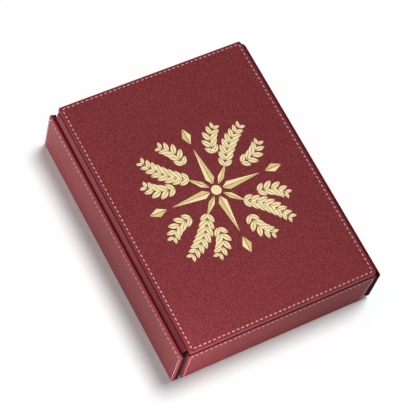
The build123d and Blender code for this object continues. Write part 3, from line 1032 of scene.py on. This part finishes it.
def makeBand(name, line, ends, look, material):
    # line is the show side: x, z, the outward direction and the thickness at each point
    rows = max(2, round((ends[1] - ends[0]) / look["alongStep"]))
    count = len(line)
    mesh = bmesh.new()
    grid, crests = [], []
    for row in range(rows + 1):
        y = ends[0] + (ends[1] - ends[0]) * row / rows
        outer, inner = [], []
        for i, (x, z, nx, nz, thickness) in enumerate(line):
            t = i / (count - 1)
            soft = math.sin(math.pi * t)  # both glued edges lie flat
            place = Vector((y * look["wanderPerMetre"], t, bandRule["wanderSlice"]))
            wander = noise.noise(place) * look["wander"]
            turns = y * look["wrinklesPerMetre"] + wander + t * look["slant"]
            crest = math.sin(2 * math.pi * turns)
            lift = crest * look["wrinkleHeight"] * soft
            outer.append(mesh.verts.new((x + nx * lift, y, z + nz * lift)))
            deep = lift - thickness
            inner.append(mesh.verts.new((x + nx * deep, y, z + nz * deep)))
            crests += [0.5 + 0.5 * crest] * 2
        grid.append((outer, inner))
    for (outerA, innerA), (outerB, innerB) in zip(grid, grid[1:]):
        for i in range(count - 1):
            mesh.faces.new((outerA[i], outerA[i + 1], outerB[i + 1], outerB[i]))
            mesh.faces.new((innerA[i], innerB[i], innerB[i + 1], innerA[i + 1]))
        for i in (0, count - 1):
            mesh.faces.new((outerA[i], outerB[i], innerB[i], innerA[i]))
    for outer, inner in (grid[0], grid[-1]):
        for i in range(count - 1):
            mesh.faces.new((outer[i], inner[i], inner[i + 1], outer[i + 1]))
    bmesh.ops.recalc_face_normals(mesh, faces=mesh.faces)
    data = toMesh(name, mesh)
    data.attributes.new("crest", "FLOAT", "POINT").data.foreach_set("value", crests)
    uvs = data.uv_layers.new(name="UVMap").data
    for loop in data.loops:
        # outer and inner points were added in turn
        row, place = divmod(loop.vertex_index, 2 * count)
        uvs[loop.index].uv = (ends[0] + (ends[1] - ends[0]) * row / rows,
                              (place // 2) / (count - 1))
    data.polygons.foreach_set("use_smooth", [True] * len(data.polygons))
    data.materials.append(material)
    return addObject(name, data)


def hingeLine():
    # from a lip on the spine's top down its inside, then up in a bow to the lid's left edge
    low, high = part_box("hinge_strip")
    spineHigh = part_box("spine_cover")[1]
    wallX = spineHigh.x + strip["spineGap"]
    top, bottom = spineHigh.z - strip["lipRound"], low.z + strip["floorRise"]
    line = []
    for reach in (strip["lip"], strip["lip"] / 2, strip["lipRound"]):
        line.append((spineHigh.x - reach, spineHigh.z + strip["legThickness"], 0.0, 1.0,
                     strip["legThickness"]))
    for i in range(strip["legSteps"]):
        z = top + (bottom - top) * i / strip["legSteps"]
        line.append((wallX, z, 1.0, 0.0, strip["legThickness"]))
    start = Vector((wallX + 2 * strip["spineGap"], bottom))
    end = Vector((high.x, high.z))
    bow = (start + end) / 2
    bow += (Vector((start.x, end.y)) - bow) * strip["bow"]
    for i in range(strip["across"] + 1):
        t = i / strip["across"]
        point = start * (1 - t) ** 2 + bow * 2 * t * (1 - t) + end * t ** 2
        run = ((bow - start) * (1 - t) + (end - bow) * t).normalized()
        thickness = strip["legThickness"] + (strip["thickness"] - strip["legThickness"]) * t
        line.append((point.x, point.y, -run.y, run.x, thickness))
    return line


def foldLine():
    low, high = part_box("fold_strip")
    start = Vector((low.x, high.z))
    end = Vector((high.x, low.z))
    run = (end - start).normalized()
    outward = Vector((-run.y, run.x))
    line = []
    for i in range(fold["across"] + 1):
        t = i / fold["across"]
        arch = 4 * t * (1 - t)  # nought at the edges and one in the middle
        point = start + (end - start) * t + outward * fold["bulge"] * (arch - fold["sunk"])
        line.append((point.x, point.y, outward.x, outward.y, fold["thickness"]))
    return line


hingeLow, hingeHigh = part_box("hinge_strip")
hingeEnds = (hingeLow.y + strip["endGap"], hingeHigh.y - strip["endGap"])
hingeBand = makeBand("hingeBand", hingeLine(), hingeEnds, strip,
                     bandMaterial("wrinkledLeather", strip))
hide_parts("hinge_strip")
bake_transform(hingeBand)

foldLow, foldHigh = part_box("fold_strip")
foldBand = makeBand("foldBand", foldLine(), (foldLow.y, foldHigh.y), fold,
                    bandMaterial("foldLeatherShaded", fold))
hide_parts("fold_strip")
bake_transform(foldBand)
print("stage: soft bands")


# the left wall's black edge shows beside the spine at both ends

wallEdge = {"setback": 0.3 * mm, "round": 0.3 * mm, "roundSteps": 2}


def makeWallEdges():
    wallLow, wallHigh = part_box("left_wall")
    spineLow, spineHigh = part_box("spine_cover")
    mesh = bmesh.new()
    for start, end in ((spineLow.y + wallEdge["setback"], wallLow.y),
                       (wallHigh.y, spineHigh.y - wallEdge["setback"])):
        low = Vector((wallLow.x, start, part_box("base_cover")[0].z))
        high = Vector((wallHigh.x, end, wallHigh.z))
        shape = Matrix.Translation((low + high) / 2) @ Matrix.Diagonal((*(high - low), 1.0))
        bmesh.ops.create_cube(mesh, size=1.0, matrix=shape)
    bmesh.ops.bevel(mesh, geom=mesh.edges[:], offset=wallEdge["round"],
                    segments=wallEdge["roundSteps"], profile=0.5, affect="EDGES")
    made = finishMesh("wallEdges", mesh, [insideFinishes["blackPaper"]], "chest")


makeWallEdges()
print("stage: wall edges")


# floor, light and camera

floorLook = {
    "size": 8.0,
    "colour": (0.8, 0.8, 0.8, 1.0),
    "seenColour": (0.97, 0.98, 0.98, 1.0),
    # painted a little cooler beside the object, to cancel the red light it throws onto the floor
    "seenBounceCancel": (0.93, 0.98, 0.98, 1.0),
    "beside": 32 * mm,
    "edge": 4 * mm,
    "glow": 0.155,
}


def seenRays(tree):
    rays = addNode(tree, "ShaderNodeLightPath").outputs
    seen = addMath(tree, "MAXIMUM", rays["Is Camera Ray"], rays["Is Glossy Ray"])
    return addMath(tree, "MAXIMUM", seen, rays["Is Transmission Ray"])


def largerOfXY(tree, vector):
    axes = splitAxes(tree, vector)
    return addMath(tree, "MAXIMUM", axes[0], axes[1])


def makeFloor():
    mesh = bmesh.new()
    bmesh.ops.create_grid(mesh, x_segments=1, y_segments=1, size=floorLook["size"] / 2)
    data = toMesh("floor", mesh)
    floor = addObject("floor", data)
    material, tree, shader, place = newMaterial("floorPaper", {
        "Roughness": 1.0, "Specular IOR Level": 0.0, "Emission Color": (1, 1, 1, 1),
    })
    seen = seenRays(tree)
    # in the shadow at the spine and at the drawer's front the paper is painted a little cooler, to
    # cancel the red light that the object throws onto it
    outside = largerOfXY(tree, addVector(tree, "SUBTRACT", cadBox[0], place["Object"]))
    shadedSide = addRange(tree, outside, -floorLook["edge"], 0.0)
    size = addVector(tree, "ABSOLUTE", place["Object"])
    away = largerOfXY(tree, addVector(tree, "SUBTRACT", size, cadBox[1]))
    fading = addRange(tree, away, 0.0, floorLook["beside"], 1.0, 0.0, smooth=True)
    beside = addMath(tree, "MULTIPLY", shadedSide, fading)
    shown = mixColour(tree, beside, floorLook["seenColour"], floorLook["seenBounceCancel"])
    tree.links.new(mixColour(tree, seen, floorLook["colour"], shown), shader.inputs["Base Color"])
    tree.links.new(addMath(tree, "MULTIPLY", seen, floorLook["glow"]),
                   shader.inputs["Emission Strength"])
    data.materials.append(material)
    return floor


lights = {
    "world": 0.155,
    "key": {"direction": (0.29, 0.12, 1.0), "strength": 2.38, "angle": 21.0},
    "fills": {
        "fillFront": {"place": (-0.16, -0.25, 0.075), "aim": (-0.06, -0.12, 0.03),
                      "power": 0.42, "size": 0.1},
        "fillSpine": {"place": (-0.3, 0.2, 0.078), "aim": (-0.1, 0.04, 0.03),
                      "power": 0.68, "size": 0.13},
        "fillLid": {"place": (-0.12, -0.2, 0.2), "aim": (-0.05, -0.08, 0.057),
                    "power": 0.14, "size": 0.12},
    },
}


def facingAway(direction):
    return Vector(direction).to_track_quat("Z", "Y").to_euler()


def makeLights(floor):
    world = bpy.data.worlds.new("studio")
    bpy.context.scene.world = world
    world.use_nodes = True
    tree = world.node_tree
    seen = seenRays(tree)
    plain = addMath(tree, "MULTIPLY", addMath(tree, "SUBTRACT", 1.0, seen), lights["world"])
    background = tree.nodes["Background"]
    background.inputs["Color"].default_value = (1, 1, 1, 1)
    tree.links.new(addMath(tree, "ADD", plain, seen), background.inputs["Strength"])

    key = bpy.data.lights.new("key", "SUN")
    key.energy, key.angle = lights["key"]["strength"], math.radians(lights["key"]["angle"])
    keyLamp = addObject("key", key)
    keyLamp.rotation_euler = facingAway(lights["key"]["direction"])
    keyLamp.visible_glossy = False  # else its highlight on the lid reaches the camera

    # the fills stand close to the object and would leave bright spots on the floor
    unlit = bpy.data.collections.new("notLitByFills")
    unlit.objects.link(floor)
    unlit.collection_objects[0].light_linking.link_state = "EXCLUDE"
    for name, look in lights["fills"].items():
        fill = bpy.data.lights.new(name, "AREA")
        fill.energy, fill.size = look["power"], look["size"]
        lamp = addObject(name, fill)
        lamp.location = look["place"]
        lamp.rotation_euler = facingAway(Vector(look["place"]) - Vector(look["aim"]))
        lamp.visible_camera = False
        lamp.light_linking.receiver_collection = unlit


cameraView = {
    "target": (-0.0028, -0.001, 0.027),
    "azimuth": -45.416,
    "elevation": 61.487,
    "roll": 19.792,
    "distance": 1.6395,
    "lens": 163.73,
    "sensor": 36.0,
    "clip": (0.05, 30.0),
}


def makeCamera():
    camera = bpy.data.cameras.new("camera")
    camera.lens, camera.sensor_width = cameraView["lens"], cameraView["sensor"]
    camera.clip_start, camera.clip_end = cameraView["clip"]
    made = addObject("camera", camera)
    turn, tilt = math.radians(cameraView["azimuth"]), math.radians(cameraView["elevation"])
    back = Vector((math.sin(turn) * math.cos(tilt), -math.cos(turn) * math.cos(tilt),
                   math.sin(tilt)))
    facing = (-back).to_track_quat("-Z", "Y").to_matrix().to_4x4()
    place = Matrix.Translation(Vector(cameraView["target"]) + back * cameraView["distance"])
    made.matrix_world = place @ facing @ Matrix.Rotation(math.radians(cameraView["roll"]), 4, "Z")
    bpy.context.scene.camera = made


makeLights(makeFloor())
makeCamera()
bpy.context.scene.view_settings.view_transform = "Standard"
print("stage: floor, light and camera")
